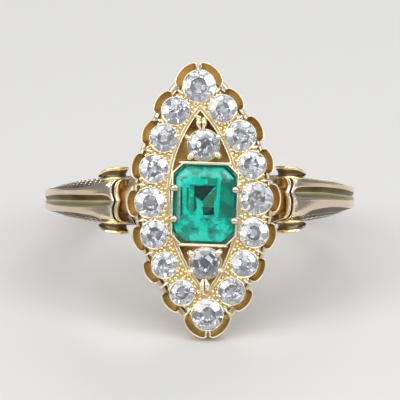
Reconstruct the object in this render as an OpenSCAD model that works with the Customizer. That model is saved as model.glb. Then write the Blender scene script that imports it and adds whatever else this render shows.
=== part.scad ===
// Navette cluster ring: an emerald and two diamonds inside a border of diamonds,
// on fluted shoulders that end in scrolls. It lies on its side, as it rests by itself:
// the lower tip of the head and the back of the hoop touch the surface z = 0.
// Every piece is drawn upright first, with the finger along Y and the head on +Z.

/* [Hoop] */
// Inner diameter, a finger size of about US 7
finger_d = 17.3; // [15:0.1:20]
// Thickness of the plain hoop
hoop_t = 0.95; // [0.8:0.05:1.4]
// Width of the plain hoop along the finger
hoop_w = 1.3; // [1:0.1:2]
// How far the true band inside the hoop stays clear of the hoop's sides
band_inset = 0.05; // [0.03:0.01:0.1]
// Thickness of that band
band_t = 0.3; // [0.2:0.05:0.5]
// How far the rounded outer edge drops below the crest
hoop_bevel = 0.12; // [0.06:0.02:0.2]

/* [Shoulders] */
// Thickness of a shoulder where it meets its scroll
shoulder_t = 1.8; // [1.4:0.1:2.2]
// Width of a shoulder where it meets its scroll
shoulder_w = 3; // [2.6:0.1:3.2]
// Depth of the flute between the two ribs
flute_d = 0.35; // [0.1:0.05:0.5]
// Diameter of the scroll that ends a shoulder
scroll_d = 1.94; // [1.6:0.05:2.1]
// Width over the two volutes of a scroll
scroll_w = 3.9; // [3.2:0.1:4.4]
// Angle of the scroll's axis from the middle of the head
scroll_angle = 34; // [33:1:36]
// How far the lip of a scroll is hollowed, in degrees round the finger
lip_bow = 6; // [3:0.5:7]
// Width of the raised line that winds over a volute
volute_line = 0.15; // [0.1:0.01:0.2]
// Height of that line
volute_relief = 0.1; // [0.05:0.01:0.15]

/* [Head] */
// Height of the head's foot over the inside of the hoop
foot_rise = 0.7; // [0.55:0.05:1.15]
// Height from the foot to the girdles of the border stones
head_h = 1.65; // [1.55:0.05:2.2]
// Turn of the whole head on the hoop, in degrees
head_turn = 1.7; // [0:0.1:3]
// Half length of the line through the centres of the border stones
border_l = 6.95; // [6.8:0.05:7.3]
// Half width of that line
border_w = 3.24; // [3.2:0.02:3.5]
// How far the base rail stands outside that line
rail_out = 1.2; // [1.15:0.05:1.35]
// Width of the base rail
rail_w = 0.4; // [0.3:0.05:0.5]
// Height of the base rail
rail_h = 0.4; // [0.3:0.05:0.5]
// Thickness of the thin upright walls
wall_t = 0.16; // [0.12:0.02:0.22]
// How far a petal's rim stands outside its stone
petal_out = 0.45; // [0.3:0.05:0.5]
// How far a petal's rim lies below the girdle
petal_drop = 0.55; // [0.4:0.05:0.7]
// Thickness of that rim
petal_t = 0.11; // [0.08:0.01:0.15]
// How far the grained field lies below the girdle
field_drop = 0.12; // [0.08:0.02:0.2]
// How far the field's edge lies inside the upright wall of the gallery
field_in = 0.2; // [0.14:0.02:0.26]
// Thickness of the floor that carries the inner stones
floor_t = 0.3; // [0.2:0.05:0.4]
// Height of that floor above the foot
floor_up = 0.2; // [0.15:0.05:0.3]
// Radius of a claw between two border stones
claw_r = 0.17; // [0.12:0.01:0.2]
// Radius of a bar of the forked claws
fork_r = 0.14; // [0.1:0.01:0.16]
// Thickness of the collet's edge round a stone
collet_t = 0.1; // [0.06:0.01:0.13]
// Clearance between the emerald and the thin frame round it
frame_gap = 0.14; // [0.08:0.02:0.2]
// Thickness of that frame
frame_t = 0.12; // [0.08:0.02:0.16]
// Width of the neck between a scroll and the head
neck_w = 2; // [1.6:0.1:2.4]

/* [Stones] */
// Diameter of a border diamond of middle size
diamond_d = 1.77; // [1.6:0.01:1.8]
// Diameter of the two inner diamonds
inner_d = 1.93; // [1.8:0.01:1.95]
// Room between an inner diamond and the end of the emerald
inner_gap = 0.27; // [0.24:0.01:0.36]
// How far the emerald and the inner diamonds sit below the middle of the head
centre_shift = 0.22; // [0:0.02:0.3]
// How far they sit to the right of the middle line
centre_side = 0.06; // [0:0.02:0.1]
// Turn of the line through their middles, in degrees
centre_turn = -1.3; // [-2:0.1:0]
// Height of the inner stones above the border stones
centre_up = 0.12; // [0:0.02:0.25]
// Width of the emerald
emerald_w = 3.74; // [3.6:0.02:3.8]
// Length of the emerald
emerald_l = 4.7; // [4.5:0.02:4.76]
// Turn of the emerald between the inner diamonds, in degrees
emerald_turn = -2.7; // [-4:0.1:0]
// Clearance between a stone and its seat
stone_gap = 0.03; // [0.02:0.01:0.05]

/* [Hidden] */
$fn = 48;
BORDER_COUNT = 16;

finger_r = finger_d / 2;
band_w = hoop_w - 2 * band_inset;
// Distance of the inner diamonds from the middle of the emerald
inner_apart = emerald_l / 2 + inner_gap + inner_d / 2;
// Clearance of the shaped hoop outside the true bore of the band
bore_clear = 0.03;
// Distance by which a cut runs past the surface that it opens
through = 0.6;
// Distance by which soldered bodies run into each other
solder = 0.1;

// Columns: angle from the head, share of the shoulder's extra thickness, share of its extra
// width, outer edge of a rib and edge of the flute as shares of the half width, share of the
// flute's depth.
ANGLE = 0;
THICK = 1;
WIDE = 2;
RIB = 3;
FLUTE = 4;
DEEP = 5;
shoulder_rows = [
    [26, 0.94, 1.00, 0.94, 0.2, 0.3],
    [34, 1.00, 0.98, 0.92, 0.2, 0.9],
    [43, 0.86, 0.84, 0.87, 0.2, 1.0],
    [53, 0.62, 0.68, 0.81, 0.2, 1.0],
    [65, 0.34, 0.48, 0.78, 0.2, 1.0],
    [78, 0.13, 0.22, 0.76, 0.2, 0.6],
    [92, 0.03, 0.06, 0.75, 0.2, 0.15],
    [114, 0.00, 0.00, 0.74, 0.2, 0.0],
    [180, 0.00, 0.00, 0.74, 0.2, 0.0]];

// Columns: shares of the middle diamond for the size, of the spacing for a nudge along the
// border and for one outward, and of the radius for the cushion's corners.
SIZE = 0;
ALONG = 1;
OUT = 2;
CUSHION = 3;
border_rows = [
    [1.10, 0, 0, 0],
    [0.96, 0, 0, 0],
    [1.09, 0, 0, 0.05],
    [0.96, -0.04, 0, 0],
    [1.09, 0, 0, 0],
    [0.99, 0.06, 0, 0],
    [0.93, 0.05, 0, 0],
    [0.93, -0.02, 0.07, 0.06],
    [1.06, 0, 0, 0],
    [0.86, -0.02, 0.06, 0],
    [0.89, -0.02, 0.05, 0],
    [0.96, 0, 0, 0],
    [1.05, 0, 0, 0.05],
    [0.98, -0.04, -0.04, 0],
    [0.96, -0.04, -0.05, 0],
    [0.96, 0.05, 0.04, 0]];

// Proportions of an old cut, as shares of the radius
TABLE_SHARE = 0.52;
CROWN_SHARE = 0.36;
STAR_SHARE = 0.74;
GIRDLE_SHARE = 0.06;
PAVILION_SHARE = 0.86;
LOWER_SHARE = 0.55;
CULET_SHARE = 0.12;
MAINS = 8;

// The two arcs that the border stones follow
arc_r = (border_l * border_l + border_w * border_w) / (2 * border_w);
arc_half = asin(border_l / arc_r);
arc_step = 2 * arc_half / (BORDER_COUNT / 2);
spacing = arc_r * arc_step * PI / 180;

// Heights of the head's levels from the finger's axis, its foot first
head_foot = finger_r + foot_rise;
girdle_z = head_foot + head_h;
inner_z = girdle_z + centre_up;
rail_top = head_foot + rail_h;
floor_z = head_foot + floor_up;
field_z = girdle_z - field_drop;
rim_z = girdle_z - petal_drop;
// Outlines of the head, as distances from the border line
gallery_out = rail_out - rail_w + wall_t;
well_out = -(diamond_d / 2 + wall_t);

// How the ring lies: the foot of the rail and the outer edge of the hoop's back touch down
edge_r = finger_r + hoop_t - hoop_bevel;
edge_y = shoulder_rows[len(shoulder_rows) - 1][RIB] * hoop_w / 2;
tip_y = border_l + rail_out;
tilt = atan((tip_y - edge_y) / (head_foot + edge_r));
lift = edge_r * sin(tilt) + edge_y * cos(tilt);
front_y = -(girdle_z * cos(tilt) + (border_l + diamond_d / 2) * sin(tilt));
back_y = (finger_r + hoop_t) * cos(tilt);
shift_y = -(front_y + back_y) / 2;

module laid() {
    translate([0, shift_y, lift])
        rotate([90 - tilt, 0, 0])
            children();
}

module on_head() {
    laid()
        rotate([0, 0, head_turn])
            children();
}

// A smooth value from a column of the shoulder's table, by a curve through its rows
function slope(rows, i, col) =
    (i == 0 || i == len(rows) - 1) ? 0
    : (rows[i + 1][col] - rows[i - 1][col]) / (rows[i + 1][ANGLE] - rows[i - 1][ANGLE]);
function hermite(a, b, ma, mb, h, u) =
    a * (2 * u * u * u - 3 * u * u + 1) + b * (3 * u * u - 2 * u * u * u)
    + ma * h * (u * u * u - 2 * u * u + u) + mb * h * (u * u * u - u * u);
function row_before(rows, angle, i = 0) =
    (i >= len(rows) - 2 || rows[i + 1][ANGLE] > angle) ? i : row_before(rows, angle, i + 1);
function share(col, angle) =
    let (rows = shoulder_rows,
         i = row_before(rows, angle),
         h = rows[i + 1][ANGLE] - rows[i][ANGLE])
    hermite(rows[i][col], rows[i + 1][col], slope(rows, i, col), slope(rows, i + 1, col),
            h, (angle - rows[i][ANGLE]) / h);

// Share of the fall beside the crest of a rib
CREST_FALL = 0.22;
// One section of the hoop as [radius, place along the finger], round its outline
function half_section(angle) =
    let (r = finger_r + hoop_t + (shoulder_t - hoop_t) * share(THICK, angle),
         w = (hoop_w + (shoulder_w - hoop_w) * share(WIDE, angle)) / 2,
         rib = share(RIB, angle) * w,
         flute = share(FLUTE, angle) * w,
         deep = share(DEEP, angle) * flute_d)
    [[finger_r + bore_clear, w],
     [finger_r + band_t, w],
     [r - hoop_bevel, rib],
     [r - hoop_bevel * CREST_FALL, rib + (flute - rib) * CREST_FALL],
     [r, (rib + flute) / 2],
     [r - deep * CREST_FALL, flute],
     [r - deep, 0]];
function section(angle) =
    let (half = half_section(angle), n = len(half))
    concat(half, [for (i = [n - 2 : -1 : 0]) [half[i][0], -half[i][1]]]);

// A closed body through rings of points, each the same on both sides of its middle
module loft(rings) {
    n = len(rings[0]);
    m = len(rings);
    half = floor(n / 2);
    points = [for (ring = rings) each ring];
    sides = [for (j = [0 : m - 2], i = [0 : n - 1])
        let (a = j * n + i, b = j * n + (i + 1) % n, c = b + n, d = a + n)
        each [[a, c, b], [a, d, c]]];
    first = [for (i = [0 : half - 1]) let (o = n - 1 - i)
        i + 1 == o - 1 ? [i, i + 1, o] : [i, i + 1, o - 1, o]];
    last = [for (face = first) [for (i = [len(face) - 1 : -1 : 0]) (m - 1) * n + face[i]]];
    polyhedron(points, concat(first, sides, last), convexity = 10);
}

HOOP_RINGS = 52;
// The ends of the hoop are hollowed, so that the scroll's lip is a curve seen from the front
module hoop_body() {
    start = shoulder_rows[0][ANGLE];
    rings = [for (j = [0 : HOOP_RINGS])
        let (turn = start + (360 - 2 * start) * j / HOOP_RINGS,
             angle = min(turn, 360 - turn),
             points = section(angle),
             end = j == 0 ? 1 : j == HOOP_RINGS ? -1 : 0)
        [for (p = points)
            let (bow = end * lip_bow * (1 - pow(p[1] / points[0][1], 2)),
                 a = turn + bow)
            [p[0] * sin(a), p[1], p[0] * cos(a)]]];
    loft(rings);
}

module hoop_band() {
    start = shoulder_rows[0][ANGLE];
    rotate([90, 0, 0])
        rotate([0, 0, 90 + start])
            rotate_extrude(angle = 360 - 2 * start, $fn = 180)
                translate([finger_r, -band_w / 2])
                    square([band_t, band_w]);
}

scroll_r = scroll_d / 2;
scroll_reach = finger_r + scroll_r + bore_clear;
scroll_x = scroll_reach * sin(scroll_angle);
scroll_z = scroll_reach * cos(scroll_angle);
volute_h = (scroll_w - shoulder_w) / 2 + solder;

// The line that winds over a volute, from its rim to its eye
VOLUTE_TURNS = 1.6;
VOLUTE_STEPS = 26;
VOLUTE_RIM = 0.92;
VOLUTE_EYE = 0.24;
VOLUTE_START = 200;
module volute_spiral() {
    angle = function (i) 360 * VOLUTE_TURNS * i / VOLUTE_STEPS;
    reach = function (i) scroll_r * (VOLUTE_RIM + (VOLUTE_EYE - VOLUTE_RIM) * i / VOLUTE_STEPS);
    outer = [for (i = [0 : VOLUTE_STEPS])
        reach(i) * [cos(angle(i)), sin(angle(i))]];
    inner = [for (i = [VOLUTE_STEPS : -1 : 0])
        (reach(i) - volute_line) * [cos(angle(i)), sin(angle(i))]];
    polygon(concat(outer, inner));
}

// Columns: shares of the scroll's radius and of the volute's height, from its rim to its middle
dome_rows = [[1, 0], [1, 0.3], [0.93, 0.58], [0.78, 0.8], [0.5, 0.96], [0, 1]];
module volute() {
    rotate_extrude()
        polygon(concat([[0, 0]], [for (row = dome_rows) [row[0] * scroll_r, row[1] * volute_h]]));
    intersection() {
        linear_extrude(volute_h + volute_relief)
            volute_spiral();
        translate([0, 0, volute_relief])
            rotate_extrude()
                polygon(concat([[0, 0]],
                               [for (row = dome_rows) [row[0] * scroll_r, row[1] * volute_h]]));
    }
    cylinder(r = scroll_r * VOLUTE_EYE, h = volute_h + volute_relief);
}

module scroll() {
    for (side = [0, 1])
        translate([scroll_x, 0, scroll_z])
            mirror([0, side, 0])
                rotate([-90, 0, 0])
                    translate([0, 0, scroll_w / 2 - volute_h])
                        rotate([0, 0, VOLUTE_START])
                            volute();
}

// The stretch of metal that carries the head on a scroll, from the finger to the base rail
module neck() {
    rail_x = border_w + rail_out;
    rotate([90, 0, 0])
        linear_extrude(neck_w, center = true)
            difference() {
                polygon([[scroll_x + scroll_r / 2, scroll_z - scroll_r],
                         [scroll_x, scroll_z],
                         [rail_x - solder, head_foot + solder],
                         [rail_x - rail_w * 2, head_foot + solder],
                         [scroll_x - scroll_d - rail_w, scroll_z - scroll_r]]);
                circle(finger_r + 2 * bore_clear, $fn = 180);
            }
}

module shoulders() {
    hoop_body();
    hoop_band();
    for (side = [0, 1])
        mirror([side, 0, 0]) {
            scroll();
            neck();
        }
}

// A point of the border line moved outward by a distance
function arc_point(angle, out) =
    [(arc_r + out) * cos(angle) - (arc_r - border_w), (arc_r + out) * sin(angle)];
ARC_STEPS = 14;
TIP_STEPS = 6;

// The navette outline at a distance outside the border line, with rounded tips
function wide_outline(out) = [for (side = [1, -1]) each concat(
    [for (i = [0 : ARC_STEPS])
        side * arc_point(-arc_half + 2 * arc_half * i / ARC_STEPS, out)],
    [for (i = [1 : TIP_STEPS - 1])
        let (a = arc_half + (180 - 2 * arc_half) * i / TIP_STEPS)
        side * [out * cos(a), border_l + out * sin(a)]])];
// The navette outline inside the border line, with sharp tips
function sharp_outline(out) =
    let (half = acos((arc_r - border_w) / (arc_r + out)))
    [for (side = [1, -1], i = [0 : ARC_STEPS - 1])
        side * arc_point(-half + 2 * half * i / ARC_STEPS, out)];

// A level piece of the head between two heights
module slab(z_low, z_high) {
    translate([0, 0, z_low])
        linear_extrude(z_high - z_low)
            children();
}

// Place, facing and radius of border stone k, counted clockwise from the upper tip
function stone_r(k) = border_rows[k][SIZE] * diamond_d / 2;
function stone_angle(k) =
    let (half = BORDER_COUNT / 2,
         step = k <= half ? k : BORDER_COUNT - k)
    arc_half - arc_step * (step + border_rows[k][ALONG]);
function stone_side(k) = k <= BORDER_COUNT / 2 ? 1 : -1;
function at_tip(k) = k % (BORDER_COUNT / 2) == 0;
function stone_xy(k) =
    let (p = arc_point(stone_angle(k), spacing * border_rows[k][OUT]))
    at_tip(k) ? [0, p[1]] : [stone_side(k) * p[0], p[1]];
function stone_facing(k) =
    at_tip(k) ? (k == 0 ? 90 : -90)
    : (stone_side(k) > 0 ? stone_angle(k) : 180 - stone_angle(k));

// The room that a round stone takes in the metal, with a hole below it
HOLE_SHARE = 0.55;
module seat(r, z) {
    hole = r * HOLE_SHARE;
    slope = PAVILION_SHARE / (1 - CULET_SHARE);
    wide = r + stone_gap;
    translate([0, 0, z])
        rotate_extrude()
            polygon([[0, -head_h], [hole, -head_h],
                     [hole, -(r - hole) * slope - stone_gap * 2],
                     [wide, -stone_gap / 2],
                     [wide, GIRDLE_SHARE * r + stone_gap / 2],
                     [TABLE_SHARE * r + stone_gap, CROWN_SHARE * r + stone_gap],
                     [TABLE_SHARE * r, CROWN_SHARE * r + through],
                     [0, CROWN_SHARE * r + through]]);
}

// The thin cup that holds a border stone
COLLET_FOOT = 0.72;
module collet(r, z) {
    depth = r * PAVILION_SHARE;
    translate([0, 0, z - depth])
        cylinder(r1 = r * COLLET_FOOT, r2 = r + collet_t, h = depth + GIRDLE_SHARE * r);
}

// A spoon-shaped petal of the gallery outside a border stone
PETAL_BELLY = 0.75;
PETAL_HALF = 44;
TIP_PETAL_FROM = 9;
TIP_PETAL_TO = 66;
module petal(r, from, to) {
    rim = r + petal_out;
    foot = rail_out - rail_w / 5;
    foot_z = rail_top - rail_h / 2;
    belly = foot + (rim - foot) * PETAL_BELLY;
    belly_z = (rail_top + rim_z) / 2;
    rotate([0, 0, from])
        rotate_extrude(angle = to - from)
            polygon([[foot - wall_t, foot_z], [foot, foot_z], [belly, belly_z], [rim, rim_z],
                     [rim - petal_t, rim_z], [belly - wall_t, belly_z]]);
}

module petals() {
    for (k = [0 : BORDER_COUNT - 1])
        translate([stone_xy(k)[0], stone_xy(k)[1], 0])
            rotate([0, 0, stone_facing(k)])
                if (at_tip(k)) {
                    petal(stone_r(k), TIP_PETAL_FROM, TIP_PETAL_TO);
                    petal(stone_r(k), -TIP_PETAL_TO, -TIP_PETAL_FROM);
                }
                else
                    petal(stone_r(k), -PETAL_HALF, PETAL_HALF);
}

// A claw that tapers upward to a round tip
CLAW_TAPER = 1.25;
module claw(foot_z, top_z) {
    translate([0, 0, foot_z])
        cylinder(r1 = claw_r * CLAW_TAPER, r2 = claw_r, h = top_z - foot_z);
    translate([0, 0, top_z])
        sphere(r = claw_r);
}

// Claws between neighbouring border stones, and the forked claws at the tips of the head
FORK_LEAN = 12;
module border_claws() {
    for (k = [0 : BORDER_COUNT - 1]) {
        a = stone_xy(k);
        b = stone_xy((k + 1) % BORDER_COUNT);
        along = (b - a) / norm(b - a);
        outward = [-along[1], along[0]];
        p = (a + b) / 2 + outward * (gallery_out - wall_t - claw_r / 2);
        translate([p[0], p[1], 0])
            claw(rail_top - solder, girdle_z + solder);
    }
    for (end = [0, 1], side = [-1, 1])
        mirror([0, end, 0])
            translate([side * claw_r, border_l + rail_out - rail_w / 2, rail_top - solder])
                rotate([FORK_LEAN, 0, 0])
                    cylinder(r = fork_r, h = girdle_z - rail_top + solder);
}

// Outline of the emerald with its cut corners
function emerald_outline(w, l, cut) = [
    [w / 2, -l / 2 + cut], [w / 2, l / 2 - cut], [w / 2 - cut, l / 2],
    [-w / 2 + cut, l / 2], [-w / 2, l / 2 - cut], [-w / 2, -l / 2 + cut],
    [-w / 2 + cut, -l / 2], [w / 2 - cut, -l / 2]];
CORNER_SHARE = 0.16;
corner = emerald_w * CORNER_SHARE;

// Columns: inset and height of each step of the emerald, as shares of its width
emerald_rows = [[0.42, -0.34], [0.28, -0.27], [0.13, -0.16], [0, 0], [0, 0.025],
                [0.05, 0.07], [0.11, 0.1], [0.19, 0.12]];
module emerald_body(grow) {
    last = len(emerald_rows) - 1;
    loft([for (i = [0 : last])
        let (inset = 2 * emerald_rows[i][0] * emerald_w,
             w = emerald_w - inset + 2 * grow,
             l = emerald_l - inset + 2 * grow,
             side = i == 0 ? -1 : i == last ? 1 : 0,
             z = inner_z + emerald_rows[i][1] * emerald_w + side * grow)
        [for (p = emerald_outline(w, l, corner * w / emerald_w)) [p[0], p[1], z]]]);
}

module at_centre() {
    translate([centre_side, -centre_shift, 0])
        rotate([0, 0, centre_turn])
            children();
}

module at_emerald() {
    at_centre()
        rotate([0, 0, emerald_turn])
            children();
}

// Height of the upper face of the floor, and of the foot of what stands on it
floor_top = floor_z + floor_t;
stand_z = floor_z + floor_t / 2;

// The grained plate between the border stones and the thin wall round the inner stones
module field() {
    difference() {
        slab(floor_z, field_z)
            polygon(wide_outline(gallery_out - wall_t - field_in));
        slab(floor_top, field_z + through)
            polygon(sharp_outline(well_out));
    }
    difference() {
        slab(stand_z, field_z + wall_t)
            polygon(sharp_outline(well_out + stone_gap));
        slab(floor_top, field_z + through)
            polygon(sharp_outline(well_out - wall_t / 2));
    }
}

// The thin upright frame round the emerald
module emerald_frame() {
    grow = 2 * (frame_gap + frame_t);
    at_emerald()
        difference() {
            slab(stand_z, field_z + wall_t)
                polygon(emerald_outline(emerald_w + grow, emerald_l + grow, corner));
            slab(floor_top + floor_t, field_z + through)
                polygon(emerald_outline(emerald_w + 2 * frame_gap, emerald_l + 2 * frame_gap,
                                        corner));
        }
}

EMERALD_CLAW_SHARE = 0.2;
module emerald_claws() {
    at_emerald()
        for (x = [-1, 1], y = [-1, 1])
            translate([x * (emerald_w + claw_r) / 2, y * emerald_l * EMERALD_CLAW_SHARE, 0])
                claw(stand_z, inner_z + claw_r);
}

// Turns of an inner diamond's single claws from its outward side
inner_claw_turns = [62, -62, 118, -118];
CLAW_REACH = 1.1;
module inner_mount() {
    at_centre()
        for (side = [-1, 1])
            translate([0, side * inner_apart, 0])
                rotate([0, 0, side * 90]) {
                    translate([0, 0, stand_z])
                        cylinder(r1 = inner_d / 2 * PAVILION_SHARE, r2 = (inner_d + collet_t) / 2,
                                 h = inner_z - stand_z - stone_gap);
                    for (turn = inner_claw_turns)
                        rotate([0, 0, turn])
                            translate([inner_d / 2 * CLAW_REACH, 0, 0])
                                claw(stand_z, inner_z + solder);
                    for (y = [-1, 1])
                        translate([inner_d / 2 + claw_r, y * claw_r, 0])
                            claw(stand_z, inner_z + solder);
                }
}

module gallery() {
    slab(head_foot, rail_top)
        difference() {
            polygon(wide_outline(rail_out));
            polygon(wide_outline(rail_out - rail_w));
        }
    slab(rail_top - rail_h / 2, floor_top)
        difference() {
            polygon(wide_outline(gallery_out));
            polygon(wide_outline(gallery_out - wall_t));
        }
    slab(floor_z, floor_top)
        polygon(wide_outline(gallery_out - wall_t / 2));
}

module head_metal() {
    difference() {
        union() {
            gallery();
            field();
            emerald_frame();
            emerald_claws();
            inner_mount();
            petals();
            border_claws();
            for (k = [0 : BORDER_COUNT - 1])
                translate([stone_xy(k)[0], stone_xy(k)[1], 0])
                    collet(stone_r(k), girdle_z);
        }
        for (k = [0 : BORDER_COUNT - 1])
            translate([stone_xy(k)[0], stone_xy(k)[1], 0])
                seat(stone_r(k), girdle_z);
        at_centre()
            for (side = [-1, 1])
                translate([0, side * inner_apart, 0])
                    seat(inner_d / 2, inner_z);
        at_emerald() {
            emerald_body(stone_gap);
            slab(head_foot, floor_top + floor_t)
                polygon(emerald_outline(emerald_w * HOLE_SHARE,
                                        emerald_l - emerald_w * (1 - HOLE_SHARE),
                                        corner * HOLE_SHARE));
        }
    }
}

module ring_mount() {
    color("goldenrod") {
        laid()
            shoulders();
        on_head()
            head_metal();
    }
}

// An old-cut stone: a small table, a high crown, a thick girdle and an open culet
module old_cut(r, z, cushion) {
    girdle_h = GIRDLE_SHARE * r;
    step = 360 / MAINS;
    round_r = function (a) r * (1 - cushion * (1 - cos(a * 4)) / 2);
    ring = function (n, radius, height, offset)
        [for (i = [0 : n - 1]) let (a = i * 360 / n + offset)
            [radius * cos(a), radius * sin(a), z + height]];
    girdle = function (height)
        [for (i = [0 : 2 * MAINS - 1]) let (a = i * step / 2)
            [round_r(a) * cos(a), round_r(a) * sin(a), z + height]];
    // A kite's side corners lie in the plane of its table corner and girdle corner
    crown_fall = (CROWN_SHARE - GIRDLE_SHARE) / (1 - TABLE_SHARE);
    star_h = r * (CROWN_SHARE - (STAR_SHARE * cos(step / 2) - TABLE_SHARE) * crown_fall);
    pavilion_rise = PAVILION_SHARE / (1 - CULET_SHARE);
    lower_h = -r * (1 - LOWER_SHARE * cos(step / 2)) * pavilion_rise;
    points = concat(
        ring(MAINS, TABLE_SHARE * r, CROWN_SHARE * r, 0),
        ring(MAINS, STAR_SHARE * r, star_h, step / 2),
        girdle(girdle_h),
        girdle(0),
        ring(MAINS, LOWER_SHARE * r, lower_h, step / 2),
        ring(MAINS, CULET_SHARE * r, -PAVILION_SHARE * r, 0));
    table = function (i) i % MAINS;
    star = function (i) MAINS + (i + MAINS) % MAINS;
    upper = function (i) 2 * MAINS + (i + 2 * MAINS) % (2 * MAINS);
    lower = function (i) 4 * MAINS + (i + 2 * MAINS) % (2 * MAINS);
    hollow = function (i) 6 * MAINS + (i + MAINS) % MAINS;
    culet = function (i) 7 * MAINS + i % MAINS;
    faces = concat(
        [[for (i = [MAINS - 1 : -1 : 0]) table(i)]],
        [for (i = [0 : MAINS - 1]) each [
            [table(i), table(i + 1), star(i)],
            [table(i), star(i), upper(2 * i)],
            [table(i), upper(2 * i), star(i - 1)],
            [star(i), upper(2 * i + 1), upper(2 * i)],
            [star(i), upper(2 * i + 2), upper(2 * i + 1)],
            [upper(2 * i), upper(2 * i + 1), lower(2 * i + 1), lower(2 * i)],
            [upper(2 * i + 1), upper(2 * i + 2), lower(2 * i + 2), lower(2 * i + 1)],
            [hollow(i), lower(2 * i), lower(2 * i + 1)],
            [hollow(i), lower(2 * i + 1), lower(2 * i + 2)],
            [culet(i), lower(2 * i), hollow(i)],
            [culet(i), hollow(i - 1), lower(2 * i)],
            [culet(i), hollow(i), culet(i + 1)]]],
        [[for (i = [0 : MAINS - 1]) culet(i)]]);
    polyhedron(points, faces, convexity = 4);
}

// Each stone is turned by its own angle, as stones set by hand are
STONE_TURN = 17;
module border_diamond(k) {
    color("gainsboro")
        on_head()
            translate([stone_xy(k)[0], stone_xy(k)[1], 0])
                rotate([0, 0, stone_facing(k) + k * STONE_TURN])
                    old_cut(stone_r(k), girdle_z, border_rows[k][CUSHION]);
}

module inner_diamond(side) {
    color("whitesmoke")
        on_head()
            at_centre()
                translate([0, side * inner_apart, 0])
                    rotate([0, 0, side * STONE_TURN])
                        old_cut(inner_d / 2, inner_z, 0);
}

module emerald() {
    color("mediumseagreen")
        on_head()
            at_emerald()
                emerald_body(0);
}

ring_mount();
emerald();
inner_diamond(1);  // inner_diamond_upper
inner_diamond(-1);  // inner_diamond_lower
for (k = [0 : BORDER_COUNT - 1])
    border_diamond(k);
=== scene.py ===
"""The looks of a navette ring: gold hoop, scroll shoulders and head, old-cut diamonds and an emerald.

Shapes are worked out in millimetres in two frames of the part: the upright ring, with the finger
along Y and the head on +Z, and the head itself, which is turned a little on the hoop. Both are
then laid on the floor as the part lies.
"""
import random
from math import asin, atan, atan2, ceil, copysign, cos, degrees, pi, radians, sin, sqrt

import bmesh
import bpy
from mathutils import Matrix, Vector, geometry


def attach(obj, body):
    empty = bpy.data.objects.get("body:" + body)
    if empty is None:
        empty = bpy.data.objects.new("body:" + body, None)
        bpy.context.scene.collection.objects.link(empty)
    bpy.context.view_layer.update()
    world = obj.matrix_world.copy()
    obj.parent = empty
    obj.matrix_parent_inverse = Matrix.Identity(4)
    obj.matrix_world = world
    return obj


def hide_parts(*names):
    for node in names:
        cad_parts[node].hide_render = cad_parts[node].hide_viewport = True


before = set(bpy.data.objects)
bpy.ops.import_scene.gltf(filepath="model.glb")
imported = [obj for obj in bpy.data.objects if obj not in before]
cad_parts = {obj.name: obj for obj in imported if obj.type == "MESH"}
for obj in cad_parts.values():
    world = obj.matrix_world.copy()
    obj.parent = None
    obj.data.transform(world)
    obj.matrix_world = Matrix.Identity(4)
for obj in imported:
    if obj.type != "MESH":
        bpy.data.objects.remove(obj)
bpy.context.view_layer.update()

# Hoop and shoulders, in millimetres and degrees, as in the part
FINGER_R = 8.65
HOOP_T = 0.95
HOOP_W = 1.3
HOOP_BEVEL = 0.12
SHOULDER_T = 1.8
SHOULDER_W = 3.0
FLUTE_D = 0.35
SCROLL_R = 0.97
SCROLL_ANGLE = 34

# Head
HEAD_FOOT = 9.35
HEAD_H = 1.65
HEAD_TURN = 1.7
BORDER_L = 6.95
BORDER_W = 3.24
DIAMOND_D = 1.77
RAIL_OUT = 1.2
RAIL_W = 0.4
RAIL_H = 0.4
WALL_T = 0.16
PETAL_OUT = 0.45
PETAL_DROP = 0.55
FIELD_DROP = 0.12
FLOOR_T = 0.3
FLOOR_UP = 0.2
HOLE_SHARE = 0.55
WELL_W = 2.06
WELL_L = 5.5
NECK_W = 2.0
CENTRE_SHIFT = 0.22
CENTRE_SIDE = 0.06
CENTRE_TURN = -1.3
CENTRE_UP = 0.12
EMERALD_W = 3.74
EMERALD_L = 4.7
EMERALD_TURN = -2.7
CORNER = 0.16 * EMERALD_W

GIRDLE_Z = HEAD_FOOT + HEAD_H
INNER_Z = GIRDLE_Z + CENTRE_UP
RAIL_TOP = HEAD_FOOT + RAIL_H
FLOOR_Z = HEAD_FOOT + FLOOR_UP
FLOOR_TOP = FLOOR_Z + FLOOR_T
FIELD_Z = GIRDLE_Z - FIELD_DROP
RIM_Z = GIRDLE_Z - PETAL_DROP

ARC_R = (BORDER_L ** 2 + BORDER_W ** 2) / (2 * BORDER_W)
ARC_HALF = asin(BORDER_L / ARC_R)

# Columns: angle from the head, share of the shoulder's extra thickness, share of its extra
# width, share of the flute's depth
SHOULDER_ROWS = [
    (26, 1.00, 1.00, 0.30),
    (34, 1.00, 0.98, 0.90),
    (43, 0.86, 0.84, 1.00),
    (53, 0.62, 0.68, 1.00),
    (65, 0.34, 0.48, 1.00),
    (78, 0.13, 0.22, 0.60),
    (92, 0.03, 0.06, 0.15),
    (114, 0.00, 0.00, 0.00),
    (180, 0.00, 0.00, 0.00)]
# The shoulders' front as it shows: angle from the head, outer edge of a rib as a share of the
# half width, and half width of the flute in millimetres
FRONT_ROWS = [
    (26, 0.84, 0.36),
    (34, 0.83, 0.36),
    (37, 0.78, 0.36),
    (41, 0.67, 0.36),
    (53, 0.60, 0.36),
    (66, 0.66, 0.33),
    (80, 0.84, 0.22),
    (96, 0.90, 0.12),
    (140, 0.80, 0.10),
    (180, 0.74, 0.10)]

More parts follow.
